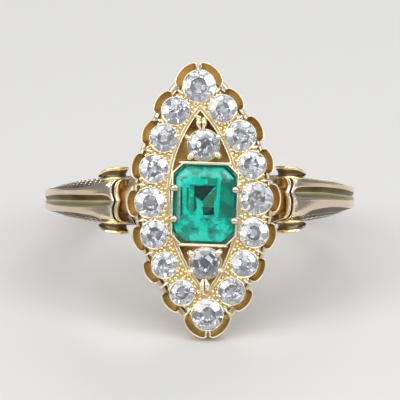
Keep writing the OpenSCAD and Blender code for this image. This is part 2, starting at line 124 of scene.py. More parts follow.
# How the ring lies: its hoop's back and the lower end of its base rail touch the floor
EDGE_R = FINGER_R + HOOP_T - HOOP_BEVEL
EDGE_Y = FRONT_ROWS[-1][1] * HOOP_W / 2
TILT = atan((BORDER_L + RAIL_OUT - EDGE_Y) / (HEAD_FOOT + EDGE_R))
LIFT = EDGE_R * sin(TILT) + EDGE_Y * cos(TILT)
FRONT_Y = -(GIRDLE_Z * cos(TILT) + (BORDER_L + DIAMOND_D / 2) * sin(TILT))
BACK_Y = (FINGER_R + HOOP_T) * cos(TILT)
SHIFT_Y = -(FRONT_Y + BACK_Y) / 2

MM = 0.001
UPRIGHT = (Matrix.Scale(MM, 4) @ Matrix.Translation((0, SHIFT_Y, LIFT))
           @ Matrix.Rotation(pi / 2 - TILT, 4, "X"))
HEAD = UPRIGHT @ Matrix.Rotation(radians(HEAD_TURN), 4, "Z")

rng = random.Random(7)


# Mesh helpers
UP = Vector((0, 0, 1))


class Shape:
    """Vertices and faces of one piece, in millimetres."""

    def __init__(self):
        self.verts = []
        self.faces = []
        self.tones = []
        self.flat = set()

    def add(self, verts, faces, flat=False, tones=0):
        """tones says which of the piece's materials a face takes, as one number or one a face."""
        start = len(self.verts)
        self.verts += [Vector(v) for v in verts]
        if flat:
            self.flat |= set(range(len(self.faces), len(self.faces) + len(faces)))
        self.faces += [tuple(start + i for i in face) for face in faces]
        self.tones += [tones] * len(faces) if isinstance(tones, int) else list(tones)

    def grid(self, rows, around=False, along=False, caps=False, strips=0):
        """A skin through rows of points. around closes each row, along closes the set of rows.

        strips says which material each strip between two columns takes.
        """
        n, m = len(rows[0]), len(rows)
        verts = [p for row in rows for p in row]
        faces = []
        tones = []
        for j in range(m if along else m - 1):
            for i in range(n if around else n - 1):
                here, there, ahead = j * n, (j + 1) % m * n, (i + 1) % n
                faces.append((here + i, here + ahead, there + ahead, there + i))
                tones.append(strips if isinstance(strips, int) else strips[i])
        if caps:
            faces.append(tuple(reversed(range(n))))
            faces.append(tuple((m - 1) * n + i for i in range(n)))
            tones += [strips if isinstance(strips, int) else 0] * 2
        self.add(verts, faces, tones=tones)

    def tube(self, path, radius, sides=8, squash=1.0, up=None, tone=0):
        """A round wire along a path. radius is a number or a function of the share along it."""
        last = len(path) - 1
        rows = []
        normal = Vector(up) if up else None
        for i, p in enumerate(path):
            t = (path[min(i + 1, last)] - path[max(i - 1, 0)]).normalized()
            if normal is None:
                normal = t.orthogonal()
            normal = (normal - t * normal.dot(t)).normalized()
            side = t.cross(normal)
            r = radius(i / last) if callable(radius) else radius
            rows.append([p + side * (r * cos(a)) + normal * (r * squash * sin(a))
                         for a in turns(sides)])
            if up:
                normal = Vector(up)
        self.grid(rows, around=True, caps=True, strips=tone)

    def ball(self, centre, radius, squash, sides, rings, lean=(0, 0, 1)):
        """A grain or claw tip: a sphere, flattened along the axis that lean gives."""
        turn = UP.rotation_difference(Vector(lean))
        verts = []
        for j in range(1, rings):
            a = pi * j / rings
            for b in turns(sides):
                verts.append(Vector((sin(a) * cos(b), sin(a) * sin(b),
                                     cos(a) * squash)) * radius)
        top, low = len(verts), len(verts) + 1
        verts += [UP * (radius * squash), UP * (-radius * squash)]
        faces = [(j * sides + i, (j + 1) * sides + i, (j + 1) * sides + (i + 1) % sides,
                  j * sides + (i + 1) % sides)
                 for j in range(rings - 2) for i in range(sides)]
        last = (rings - 2) * sides
        faces += [(top, i, (i + 1) % sides) for i in range(sides)]
        faces += [(low, last + (i + 1) % sides, last + i) for i in range(sides)]
        self.add([Vector(centre) + turn @ v for v in verts], faces)

    def band(self, outline, start, end):
        """A thin upright skin along a closed outline, from one height to another."""
        self.grid(list(zip(level(outline, start), level(outline, end))), along=True)

    def moulding(self, path, section, around=False):
        """A section of points (outward, upward) carried round a closed level path."""
        rows = []
        for i, p in enumerate(path):
            out = (path[(i + 1) % len(path)] - path[i - 1]).normalized().cross(UP)
            rows.append([p + out * x + UP * z for x, z in section])
        self.grid(rows, around=around, along=True)

    def lathe(self, profile, centre, sides=36):
        """Points (radius, height) turned round +Z at a centre."""
        rows = [[Vector(centre) + Vector((r * cos(a), r * sin(a), z)) for r, z in profile]
                for a in turns(sides)]
        self.grid(rows, along=True)


def build(name, shape, matrix, materials, stands_for=()):
    """Turns a shape into a piece of the object that rides on its only body."""
    mesh = bpy.data.meshes.new(name)
    mesh.from_pydata([matrix @ v for v in shape.verts], [], shape.faces)
    for material in materials:
        mesh.materials.append(material)
    for i, face in enumerate(mesh.polygons):
        face.use_smooth = i not in shape.flat
        face.material_index = shape.tones[i]
    mesh.validate()
    mesh.update()
    obj = bpy.data.objects.new(name, mesh)
    bpy.context.scene.collection.objects.link(obj)
    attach(obj, "root")
    if stands_for:
        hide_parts(*stands_for)


def spread(low, high, steps):
    """Evenly spaced numbers, both ends among them."""
    return [low + (high - low) * i / (steps - 1) for i in range(steps)]


def turns(steps):
    """Angles round a circle."""
    return [2 * pi * i / steps for i in range(steps)]


def ease(x, low=0.0, high=1.0):
    """A smooth step from 0 at low to 1 at high."""
    x = min(1.0, max(0.0, (x - low) / (high - low)))
    return x * x * (3 - 2 * x)


def swelling(ends, middle, power=1.0):
    """A wire's radius that grows from its ends to its middle."""
    return lambda u: ends + (middle - ends) * sin(pi * u) ** power


def polar(angle):
    return Vector((cos(angle), sin(angle)))


def level(points, z):
    return [Vector((*p, z)) for p in points]


def circle(centre, r, steps):
    return [(centre.x + r * cos(a), centre.y + r * sin(a)) for a in turns(steps)]


def smooth_path(points, steps):
    """A curve through points, as a Catmull-Rom spline."""
    pts = [points[0]] + list(points) + [points[-1]]
    out = []
    spans = len(points) - 1
    for i in range(steps * spans + 1):
        u = i / steps
        k = min(int(u), spans - 1)
        t = u - k
        a, b, c, d = pts[k:k + 4]
        out.append(0.5 * (2 * b + (c - a) * t + (2 * a - 5 * b + 4 * c - d) * t * t
                          + (3 * b - a - 3 * c + d) * t ** 3))
    return out


def inside(outline, x, y):
    """True if a point lies inside a closed outline."""
    hit = False
    n = len(outline)
    for i in range(n):
        (x0, y0), (x1, y1) = outline[i - 1], outline[i]
        if (y0 > y) != (y1 > y) and x < (x1 - x0) * (y - y0) / (y1 - y0) + x0:
            hit = not hit
    return hit


# Points closer than this are one when outlines are filled, in millimetres
SAME_POINT = 0.0001


def filled(outlines):
    """Points and faces between closed outlines, each face with its middle."""
    points, edges = [], []
    for outline in outlines:
        start, n = len(points), len(outline)
        points += [Vector(p) for p in outline]
        edges += [(start + i, start + (i + 1) % n) for i in range(n)]
    verts, _, faces = geometry.delaunay_2d_cdt(points, edges, [], 0, SAME_POINT)[:3]
    return verts, [(face, sum((verts[i] for i in face), Vector((0, 0))) / len(face)) for face in faces]


# Materials. Scales of noise are counted in a metre: the gold's wear and its fine grain
WEAR_SCALE, FINE_SCALE = 420, 5200
FINE_DEPTH = 0.00002


def wired(node, **values):
    """Puts values or other nodes' outputs on the sockets of a node, named with _ for a space."""
    for name, value in values.items():
        socket = node.inputs[name.replace("_", " ")]
        if isinstance(value, bpy.types.NodeSocket):
            node.id_data.links.new(value, socket)
        else:
            socket.default_value = value
    return node


def clouded(name, deep, colour, scale, detail, low=0.0, high=1.0):
    """A material that drifts from deep to colour where a cloud of noise goes from low to high."""
    mat = bpy.data.materials.new(name)
    mat.use_nodes = True
    nodes = mat.node_tree.nodes
    where = nodes.new("ShaderNodeTexCoord").outputs["Object"]
    noise = wired(nodes.new("ShaderNodeTexNoise"), Vector=where, Scale=scale, Detail=detail)
    cloud = noise.outputs["Fac"]
    ramp = wired(nodes.new("ShaderNodeMapRange"), Value=cloud, From_Min=low, From_Max=high)
    tint = nodes.new("ShaderNodeMix")
    tint.data_type = "RGBA"
    wired(tint, Factor=ramp.outputs["Result"], A=(*deep, 1), B=(*colour, 1))
    shader = wired(nodes["Principled BSDF"], Base_Color=tint.outputs["Result"])
    return mat, shader, where, cloud


def gold(name, colour, deep, roughness, grain):
    """Polished gold with faint wear: colour and gloss drift a little over the surface. In the dark
    copies that paint shade, the drift paints lighter and darker patches too.
    """
    mat, shader, where, cloud = clouded(name, deep, colour, WEAR_SCALE, 3, 0.35, 0.55)
    nodes = mat.node_tree.nodes
    gloss = wired(nodes.new("ShaderNodeMapRange"), Value=cloud, To_Min=roughness * 1.5,
                  To_Max=roughness * 0.6)
    fine = wired(nodes.new("ShaderNodeTexNoise"), Vector=where, Scale=FINE_SCALE, Detail=2)
    bump = wired(nodes.new("ShaderNodeBump"), Height=fine.outputs["Fac"], Strength=grain,
                 Distance=FINE_DEPTH)
    wired(shader, Metallic=1.0, Roughness=gloss.outputs["Result"], Normal=bump.outputs["Normal"])
    return mat


def stone(name, colour, index, cloudy, clear, scale):
    """A cut stone whose colour drifts a little inside it. clear is 1 where it isn't milky."""
    mat, shader, _, _ = clouded(name, colour, cloudy, scale, 4)
    wired(shader, IOR=index, Transmission_Weight=clear, Roughness=0.0)
    return mat


def painted_facet_light(name, colour, dark, scale):
    """Painted reflection: the light that a facet of the emerald sends back, painted as a matt colour and
    clouded by its inclusions.
    """
    mat, shader, _, _ = clouded(name, dark, colour, scale, 5, 0.42, 0.55)
    wired(shader, Roughness=0.22)
    return mat


YELLOW = gold("yellow_gold", (1.0, 0.83, 0.5), (0.94, 0.74, 0.37), 0.15, 0.25)
# Pale gold: the own tone of collets, claws, walls and mounts, and a painted highlight on the ridges of
# the shoulders' lips
CREAM = gold("pale_gold_and_painted_highlight", (1.0, 0.93, 0.74), (0.97, 0.85, 0.6), 0.2, 0.15)
RIM = gold("rim_gold", (1.0, 0.92, 0.74), (1.0, 0.86, 0.6), 0.36, 0.1)
ROSY = gold("shoulder_gold", (0.84, 0.69, 0.53), (0.76, 0.61, 0.45), 0.16, 0.15)
# Painted light: a lit copy of the gold for the flute's lower wall, which faces up
PAINTED_LIGHT_GOLD = gold("flute_painted_light_gold", (0.72, 0.68, 0.43), (0.6, 0.56, 0.32), 0.45, 0.2)
# Painted shade: a dark copy of the gold for the flute's upper wall, the groove of the lip and the
# hollows of the volutes
PAINTED_SHADE_GOLD = gold("shaded_gold", (0.19, 0.14, 0.07), (0.09, 0.06, 0.025), 0.36, 0.2)
# Painted shade: a duller, darker copy of the gold for the hollow inside of the petals; the field, the
# gallery and the necks take it too
PETAL = gold("petal_painted_shade_gold", (0.86, 0.73, 0.49), (0.7, 0.54, 0.32), 0.34, 0.2)
# Painted shade of recesses: dark brown that clouds to orange-brown, the clouds a painted warm
# reflection; for the lips' backs, the scrolls' barrels and the wells' floor
DEEP = gold("recess_painted_shade_gold", (0.54, 0.31, 0.1), (0.15, 0.07, 0.02), 0.27, 0.3)
CHASED = gold("chased_gold", (0.12, 0.1, 0.06), (0.05, 0.045, 0.03), 0.4, 1.0)
DIAMOND = stone("old_diamond", (0.88, 0.89, 0.94), 2.417, (0.68, 0.7, 0.78), 0.88, 2600)
# Painted shade: the culet facet of the inner diamonds is made near black, for the dark spot that an open
# culet shows
PAINTED_CULET_SHADE = gold("culet_shade", (0.02, 0.02, 0.025), (0.01, 0.01, 0.012), 0.4, 0.1)
EMERALD = stone("green_emerald", (0.36, 0.98, 0.88), 1.5, (0.22, 0.92, 0.78), 1.0, 700)
# Painted reflections and painted shade of the emerald's pavilion, from darkest to brightest, and an
# olive one
PAINTED_FACET_TONES = [painted_facet_light("emerald_darkest", (0.002, 0.035, 0.032), (0.001, 0.01, 0.01), 900),
         painted_facet_light("emerald_dark", (0.005, 0.2, 0.12), (0.003, 0.09, 0.06), 900),
         painted_facet_light("emerald_middle", (0.004, 0.42, 0.32), (0.003, 0.2, 0.15), 1400),
         painted_facet_light("emerald_bright", (0.012, 1.0, 0.86), (0.004, 0.42, 0.34), 1900),
         painted_facet_light("emerald_brightest", (0.12, 1.0, 0.96), (0.02, 0.9, 0.76), 1500),
         painted_facet_light("emerald_olive", (0.26, 0.4, 0.22), (0.16, 0.28, 0.15), 900)]


# Hoop and shoulders
# Start and length of the flute's tip in degrees, and its least half width
FLUTE_TIP, FLUTE_TAPER, FLUTE_LEAST = 28.9, 8.0, 0.015
# Rounding of a rib, its share towards the flute, and the half rib that has all of it
RIB_CROWN, CROWN_IN, CROWN_FULL = 0.03, 0.35, 0.4
# Height of a side facet's foot above the bore, and the bevel inside it
SIDE_FOOT, INNER_BEVEL = 0.3, 0.06
# Strips across half of the flute, a rib, a side facet and half of the inside
FLUTE_STEPS, RIB_STEPS, SIDE_STEPS, INSIDE_STEPS = 5, 8, 4, 3
# How far the right flute lies above the middle, near the head and far from it, and the angles
# between which that sinks and between which it ends
LEAN_NEAR, LEAN_FAR = 0.45, 0.12
LEAN_SINKS, LEAN_ENDS = (38, 82), (85, 110)


def share(column, angle, rows=SHOULDER_ROWS):
    """A smooth value from a column of a table along the shoulder."""
    i = 0
    while i < len(rows) - 2 and rows[i + 1][0] <= angle:
        i += 1

    def slope(k):
        if k in (0, len(rows) - 1):
            return 0.0
        rise = rows[k + 1][column] - rows[k - 1][column]
        return rise / (rows[k + 1][0] - rows[k - 1][0])

    h = rows[i + 1][0] - rows[i][0]
    u = (angle - rows[i][0]) / h
    a, b = rows[i][column], rows[i + 1][column]
    return a + (b - a) * ease(u) + h * u * (1 - u) * (slope(i) * (1 - u) - slope(i + 1) * u)


def crest_r(angle):
    return FINGER_R + HOOP_T + (SHOULDER_T - HOOP_T) * share(1, angle)


def half_w(angle):
    return (HOOP_W + (SHOULDER_W - HOOP_W) * share(2, angle)) / 2


def rib_edge(angle):
    return share(1, angle, FRONT_ROWS) * half_w(angle)


def ring_point(r, angle, y, side):
    """A point of the upright ring, at an angle from the head on its left (-1) or right (1)."""
    a = radians(angle) * side
    return Vector((r * sin(a), y, r * cos(a)))


def leaning(y, w, angle, side):
    """The place along the finger of a point of the shoulder, with the lean of the right one."""
    if side < 0:
        return y
    lean = LEAN_NEAR + (LEAN_FAR - LEAN_NEAR) * ease(angle, *LEAN_SINKS)
    lean *= 1 - ease(angle, *LEAN_ENDS)
    return y + lean * max(0.0, 1 - (y / w) ** 2)


def hoop_section(angle):
    """Outline of the hoop at an angle from the head, as (radius, place along the finger)."""
    r, w = crest_r(angle), half_w(angle)
    near = min(1.0, max(0.0, (angle - FLUTE_TIP) / FLUTE_TAPER))
    tip = sqrt(1 - (1 - near) ** 2)
    rib, flute = rib_edge(angle), max(FLUTE_LEAST, share(2, angle, FRONT_ROWS) * tip)
    deep = share(3, angle) * FLUTE_D * tip
    half = [(r - deep * (1 - u * u), flute * u) for u in spread(0, 1, FLUTE_STEPS + 1)]
    middle, reach = (rib + flute) / 2, (rib - flute) / 2
    crown = RIB_CROWN * min(1, reach / CROWN_FULL)
    for u in spread(-1, 1, RIB_STEPS + 1)[1:]:
        drop = crown * u * u + HOOP_BEVEL * u ** 6 if u > 0 else CROWN_IN * crown * u * u
        half.append((r - drop, middle + reach * u))
    low, top = FINGER_R + SIDE_FOOT, half[-1][0]
    for u in spread(0, 1, SIDE_STEPS + 1)[1:]:
        half.append((top + (low - top) * u, rib + (w - rib) * u))
    half += [(FINGER_R + INNER_BEVEL, w), (FINGER_R, w - INNER_BEVEL), (FINGER_R, w / 2)]
    return half + [(a, -b) for a, b in reversed(half[1:])]


def half_strips(flute):
    """Materials of the strips of one half, from the middle of the flute to the inside."""
    return [flute] * FLUTE_STEPS + [0] * RIB_STEPS + [3] * SIDE_STEPS + [0] * INSIDE_STEPS


# The flute's upper half takes the painted shade (2) and its lower half the painted light (1)
HOOP_STRIPS = half_strips(2) + [0] + half_strips(1)[::-1]

# The double lip that ends a shoulder: distance towards the head and height in millimetres, and
# material of the strip after it. Pale gold on its two ridges is a painted highlight, dark gold in
# the groove between them and recess gold down its back are painted shade
LIP_ROWS = [(-0.53, 0.0, 0), (-0.5, 0.0, 4), (-0.45, 0.05, 4), (-0.39, 0.06, 4), (-0.35, 0.02, 2),
            (-0.33, -0.1, 2), (-0.28, -0.15, 2), (-0.23, -0.1, 2), (-0.2, 0.03, 4), (-0.13, 0.09, 4),
            (-0.04, 0.07, 4), (0.02, -0.03, 5), (0.03, -0.2, 5), (-0.04, -0.4, 5), (-0.18, -0.6, 5),
            (-0.34, -0.8, 5)]
LIP_ANGLE = SHOULDER_ROWS[0][0]
# Angle over which its curve dies away, how far its middle draws back, and how squarely
LIP_BLEND, LIP_CURVE, LIP_SQUARE = 12.0, 4.0, 6
# Length in degrees and half width of the point in its middle
LIP_POINT, LIP_POINT_W = 0.8, 0.4
# Height above a side facet's foot where the lip has its full size, and least angle from it to the
# first plain section
LIP_WHOLE, LIP_CLEAR = 0.9, 3
HOOP_SECTIONS = (spread(LIP_ANGLE, 70, 46)[1:] + spread(70, 110, 28)[1:]
                 + spread(110, 180, 20)[1:])


def hoop():
    """The hoop from the lip of one shoulder round the back to the lip of the other."""
    shape = Shape()

    def blend_at(angle):
        return 1 - ease(angle, LIP_ANGLE, LIP_ANGLE + LIP_BLEND)

    def section(angle, side, ahead=0.0, up=0.0):
        w = half_w(angle)
        blend = blend_at(angle)
        row = []
        for r, y in hoop_section(angle):
            point = LIP_POINT * max(0.0, 1 - abs(y) / LIP_POINT_W)
            outer = ease(r, FINGER_R + SIDE_FOOT, FINGER_R + SIDE_FOOT + LIP_WHOLE)
            a = (angle + blend * (LIP_CURVE * (1 - abs(y / w) ** LIP_SQUARE) - point)
                 - degrees(ahead / r) * outer)
            row.append(ring_point(r + up * outer, a, leaning(y, w, angle, side), side))
        return row

    base = [a for a in HOOP_SECTIONS if a + LIP_CURVE * blend_at(a) > LIP_ANGLE + LIP_CURVE + LIP_CLEAR]
    rows = [section(LIP_ANGLE, 1, ahead, up) for ahead, up, _ in reversed(LIP_ROWS)]
    rows += [section(a, 1) for a in base]
    rows += [section(a, -1) for a in reversed(base[:-1])]
    rows += [section(LIP_ANGLE, -1, ahead, up) for ahead, up, _ in LIP_ROWS]
    shape.grid(rows, around=True, caps=True, strips=HOOP_STRIPS)
    around = len(HOOP_STRIPS)
    # The lip's strips take their tones from LIP_ROWS: painted highlight on the ridges, painted shade in
    # the groove and down the back
    for j, (_, _, tone) in enumerate(LIP_ROWS[-2::-1]):
        for strip in (j, len(rows) - 2 - j):
            shape.tones[strip * around:(strip + 1) * around] = [tone] * around
    return shape


# The chased sides of the shoulders: small raised cuts that lean to and fro, like leaves on a stem,
# between two angles, and from a depth below the crest to a height above the bore
CHASE_FROM, CHASE_TO = 39, 100
CHASE_TOP, CHASE_FOOT = 0.26, 0.34
CHASE_PITCH, CHASE_ROWS, CHASE_LEAN = 0.21, 3, 0.9
CHASE_HEIGHT, CHASE_SINK = 0.06, 0.02
# The longest cut and the least share of it, then half width and shift of the peak as shares of it
CUT_LONGEST, CUT_LEAST, CUT_WIDE, CUT_PEAK = 0.5, 0.8, 0.19, 0.1


def raised_cut(shape, angle, v, face, side, lean):
    """A cut on a shoulder's side facet. v goes from 0 at the facet's crest to 1 at its foot."""
    w, rib = half_w(angle), rib_edge(angle)
    high_r, low_r = crest_r(angle) - CHASE_TOP, FINGER_R + CHASE_FOOT

    def at(v, ahead=0):
        y = leaning((rib + (w - rib) * v) * face, w, angle, side)
        return ring_point(high_r + (low_r - high_r) * v, angle + ahead, y, side)

    centre = at(v)
    along = (at(v, 1) - centre).normalized()
    down = (at(v + 0.1) - centre).normalized()
    out = along.cross(down)
    if out.y * face < 0:
        out.negate()
    size = min(CUT_LONGEST, (high_r - low_r) / CHASE_ROWS) * rng.uniform(CUT_LEAST, 1.0)
    length = (along + down * lean).normalized()
    width = out.cross(length).normalized() * size * CUT_WIDE
    length *= size / 2
    foot = centre - out * CHASE_SINK
    peak = centre + out * CHASE_HEIGHT - length * (2 * CUT_PEAK)
    shape.add([foot + length, foot + width, foot - length, foot - width, peak],
              [(0, 1, 4), (1, 2, 4), (2, 3, 4), (3, 0, 4)], flat=True)


def chasing():
    shape = Shape()
    step = degrees(CHASE_PITCH / FINGER_R)
    count = ceil((CHASE_TO - CHASE_FROM) / step)
    for side in (-1, 1):
        for face in (-1, 1):
            for i in range(count):
                for k in range(CHASE_ROWS):
                    lean = CHASE_LEAN if (i + k) % 2 else -CHASE_LEAN
                    raised_cut(shape, CHASE_FROM + i * step, (k + 0.5) / CHASE_ROWS, face, side, lean)
    return shape


# Scrolls: the middle of each roll, a little clear of the bore
SCROLL_REACH = FINGER_R + SCROLL_R + 0.03
SCROLL_X = SCROLL_REACH * sin(radians(SCROLL_ANGLE))
SCROLL_Z = SCROLL_REACH * cos(radians(SCROLL_ANGLE))
SCROLL_SIDES = 44
# The barrel between two volutes, and how far it is set inward
BARREL_R, BARREL_IN = 0.6, 0.2
# Where a volute starts, then its rows: radius as a share of the scroll's, place along the finger,
# and material of the strip after it. The dark gold in its hollows is painted shade
VOLUTE_INNER = 1.22
VOLUTE_ROWS = [(0.5, 1.2, 0), (0.8, 1.24, 0), (0.92, 1.3, 0), (0.93, 1.37, 0), (0.85, 1.44, 1),
               (0.78, 1.56, 1), (0.8, 1.72, 1), (0.92, 1.86, 0), (0.99, 1.95, 0), (0.98, 2.03, 0),
               (0.88, 2.06, 0), (0.78, 2.0, 1), (0.66, 1.9, 1), (0.52, 1.92, 0), (0.38, 2.0, 0),
               (0.24, 2.02, 0), (0.1, 2.04, 0), (0.02, 2.04, 0)]
# The angle at which a volute has its full width, how much of it is lost across, and how suddenly
VOLUTE_FULL = radians(150)
VOLUTE_FLAT, VOLUTE_POWER = 0.72, 2.4


def scrolls():
    """Each shoulder ends in a roll between two volutes, which swell towards the head."""
    shape = Shape()
    strips = [tone for _, _, tone in VOLUTE_ROWS]
    for side in (-1, 1):
        def at(r, y, a):
            return Vector((side * (SCROLL_X + r * cos(a)), y, SCROLL_Z + r * sin(a)))

        inward = Vector((-side * BARREL_IN, 0, 0))
        barrel = [[at(BARREL_R, y, a) + inward for y in spread(-VOLUTE_INNER, VOLUTE_INNER, 7)]
                  for a in turns(SCROLL_SIDES)]
        # The barrel under the roll takes the recess gold as painted shade
        shape.grid(barrel, along=True, strips=2)
        for face in (-1, 1):
            rows = []
            for a in turns(SCROLL_SIDES):
                swell = 1 - VOLUTE_FLAT * ((1 - cos(a - VOLUTE_FULL)) / 2) ** VOLUTE_POWER
                rows.append([at(SCROLL_R * r, face * (VOLUTE_INNER + (y - VOLUTE_INNER) * swell), a)
                             for r, y, _ in VOLUTE_ROWS])
            shape.grid(rows, along=True, strips=strips)
    return shape


# A neck's upper edge, from the scroll to the base rail, as (distance from the middle, height)
NECK_START = (SCROLL_X + SCROLL_R * 0.2, SCROLL_Z + 0.1)
NECK_END = (BORDER_W + RAIL_OUT - RAIL_W / 2, HEAD_FOOT + RAIL_H * 0.6)
# Its underside: height above the bore, and first angle and sweep from there
NECK_UP, NECK_ANGLE, NECK_SWEEP = 0.06, SCROLL_ANGLE - 3, 12
# Its width at the ends and what its middle loses, as shares
NECK_FULL, NECK_WAIST = 1.15, 0.25
# Half of a section: share of the way down, added height, and share of the half width
NECK_ROWS = [(0, 0, 0.55), (0, -0.1, 0.85), (0.5, 0, 1), (1, 0.05, 0.92)]


def necks():
    """The saddle of metal from under each scroll to the base rail."""
    shape = Shape()
    for side in (-1, 1):
        rows = []
        for u in spread(0, 1, 9):
            x = NECK_START[0] + (NECK_END[0] - NECK_START[0]) * u
            z = NECK_START[1] + (NECK_END[1] - NECK_START[1]) * ease(u)
            low = ring_point(FINGER_R + NECK_UP, NECK_ANGLE - NECK_SWEEP * u, 0, 1)
            w = NECK_W / 2 * (NECK_FULL - NECK_WAIST * sin(pi * u))
            row = [Vector((side * (x + (low.x - x) * down), w * wide, z + (low.z - z) * down + up))
                   for down, up, wide in NECK_ROWS]
            rows.append(row + [Vector((p.x, -p.y, p.z)) for p in reversed(row)])
        shape.grid(rows, around=True, caps=True)
    return shape


# Head: outlines and the places of its stones

def wide_outline(out, steps=40, tip=10):
    """Navette outline at a distance outside the border line, with rounded tips."""
    points = []
    for s in (1, -1):
        for a in spread(-ARC_HALF, ARC_HALF, steps + 1):
            x, y = (ARC_R + out) * cos(a) - (ARC_R - BORDER_W), (ARC_R + out) * sin(a)
            points.append((s * x, s * y))
        for i in range(1, tip):
            a = ARC_HALF + (pi - 2 * ARC_HALF) * i / tip
            points.append((s * out * cos(a), s * (BORDER_L + out * sin(a))))
    return points


def navette(half_width, half_length, steps=40):
    """Navette outline of two arcs, with sharp tips."""
    r = (half_length ** 2 + half_width ** 2) / (2 * half_width)
    half = asin(half_length / r)
    points = []
    for s in (1, -1):
        for i in range(steps):
            a = -half + 2 * half * i / steps
            points.append((s * (r * cos(a) - r + half_width), s * r * sin(a)))
    return points


def emerald_outline(w, l, cut):
    x, y = w / 2, l / 2
    return [(x, cut - y), (x, y - cut), (x - cut, y), (cut - x, y), (-x, y - cut), (-x, cut - y),
            (cut - x, -y), (x - cut, -y)]


AT_EMERALD = (Matrix.Translation((CENTRE_SIDE, -CENTRE_SHIFT, 0))
              @ Matrix.Rotation(radians(CENTRE_TURN + EMERALD_TURN), 4, "Z"))


def at_emerald(x, y, z=0.0):
    return AT_EMERALD @ Vector((x, y, z))


def solid_points(node):
    """The points of a stone's solid in the head's frame."""
    back = HEAD.inverted()
    return [back @ v.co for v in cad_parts[node].data.vertices]


def stone_place(node):
    """Centre and radius of a round stone."""
    xs, ys, _ = zip(*solid_points(node))
    x, y = (min(xs) + max(xs)) / 2, (min(ys) + max(ys)) / 2
    return Vector((x, y)), (max(xs) - min(xs) + max(ys) - min(ys)) / 4


BORDER = [stone_place(f"border_diamond_{k:02d}") for k in range(1, 17)]
INNER = [stone_place("inner_diamond_upper"), stone_place("inner_diamond_lower")]
COUNT = len(BORDER)


def at_tip(k):
    return k % (COUNT // 2) == 0


def facing(k):
    """Direction from border stone k straight out of the head."""
    x, y = BORDER[k][0]
    if at_tip(k):
        return copysign(pi / 2, y)
    a = asin(max(-1, min(1, y / ARC_R)))
    return a if x > 0 else pi - a


# Middle of the base rail under the petals, and how suddenly it comes out at the tips, then the
# sides of its section and how square that is
RAIL_SIDE, RAIL_POWER = 0.76, 6
RAIL_SIDES, RAIL_SQUARE = 12, 4
WALL_OUT, WALL_IN_RAIL = 0.86, 0.2


def gallery():
    """Base rail and upright wall of the head."""
    shape = Shape()
    path = []
    for (x, y), (nx, ny) in zip(wide_outline(RAIL_OUT - RAIL_W / 2), wide_outline(RAIL_SIDE)):
        u = min(1.0, abs(y) / BORDER_L) ** RAIL_POWER
        path.append(Vector((nx + (x - nx) * u, ny + (y - ny) * u, HEAD_FOOT + RAIL_H / 2)))
    section = []
    for a in turns(RAIL_SIDES):
        c, s = cos(a + pi / RAIL_SIDES), sin(a + pi / RAIL_SIDES)
        grow = (abs(c) ** RAIL_SQUARE + abs(s) ** RAIL_SQUARE) ** (-1 / RAIL_SQUARE)
        section.append((RAIL_W / 2 * c * grow, RAIL_H / 2 * s * grow))
    shape.moulding(path, section, around=True)
    low = RAIL_TOP - WALL_IN_RAIL
    shape.grid([[Vector((*p, low)), Vector((*p, FLOOR_TOP)), Vector((*q, FLOOR_TOP)), Vector((*q, low))]
                for p, q in zip(wide_outline(WALL_OUT), wide_outline(WALL_OUT - WALL_T))],
               around=True, along=True)
    return shape


# Half a petal's spread in degrees, and turn and half spread of the two petals of a tip stone
PETAL_HALF = 41
TIP_PETALS = [(46, 43.5), (-46, 43.5)]
# Reach and what the ends lose of it, as shares of PETAL_OUT, then where that starts and how
# suddenly, and how far the ends rise
PETAL_REACH, PETAL_LOSS, PETAL_END, PETAL_POWER, PETAL_RISE = 1.12, 0.4, 0.7, 2.5, 0.16
# Its foot: distance outside the stone's edge, least distance inside the rim, and height, then the
# steps up its front
PETAL_FOOT, PETAL_FLARE, PETAL_LOW = 0.3, 0.05, RAIL_TOP - 0.1
PETAL_FRONT = 5
# From its rim to the stone: shares of the way in and depths below the rim, then the last point as
# a share of the stone's radius
PETAL_SKIN = [(0.1, 0.05), (0.25, 0.2), (0.5, 0.38), (0.8, 0.52), (1.1, 0.62)]
PETAL_BACK = 0.8
# The bright wire on its rim: how far in and how high its middle lies
WIRE_IN, WIRE_UP = 0.015, 0.025


def petals():
    """Spoon-shaped petals round the head, hollow inside, each with a thin bright rim."""
    shape = Shape()
    spans = [(k, *span) for k in range(COUNT)
             for span in (TIP_PETALS if at_tip(k) else [(0, PETAL_HALF)])]
    # The petal's front takes the plain gold, its hollow skin the darker copy as painted shade
    strips = [0] * PETAL_FRONT + [1] * (len(PETAL_SKIN) + 2)
    for k, turn, half in spans:
        centre, r = BORDER[k]
        rim, rows = [], []
        for t in spread(-1, 1, 25):
            d = polar(facing(k) + radians(turn) + radians(half) * t)
            end = max(0.0, (abs(t) - PETAL_END) / (1 - PETAL_END))
            reach = r + PETAL_OUT * (PETAL_REACH - PETAL_LOSS * end ** PETAL_POWER)
            z = RIM_Z + PETAL_RISE * t * t
            foot = min(reach - PETAL_FLARE, r + PETAL_FOOT)
            row = [(foot + (reach - foot) * u ** 2, PETAL_LOW + (z - PETAL_LOW) * u)
                   for u in spread(0, 1, PETAL_FRONT + 1)]
            row += [(reach - (reach - r) * u, z - drop) for u, drop in PETAL_SKIN]
            row.append((r * PETAL_BACK, PETAL_LOW))
            rows.append([Vector((*(centre + d * out), height)) for out, height in row])
            rim.append(Vector((*(centre + d * (reach - WIRE_IN)), z + WIRE_UP)))
        shape.grid(rows, around=True, caps=True, strips=strips)
        shape.tube(rim, swelling(0.03, 0.055, 0.5), tone=2)
    return shape


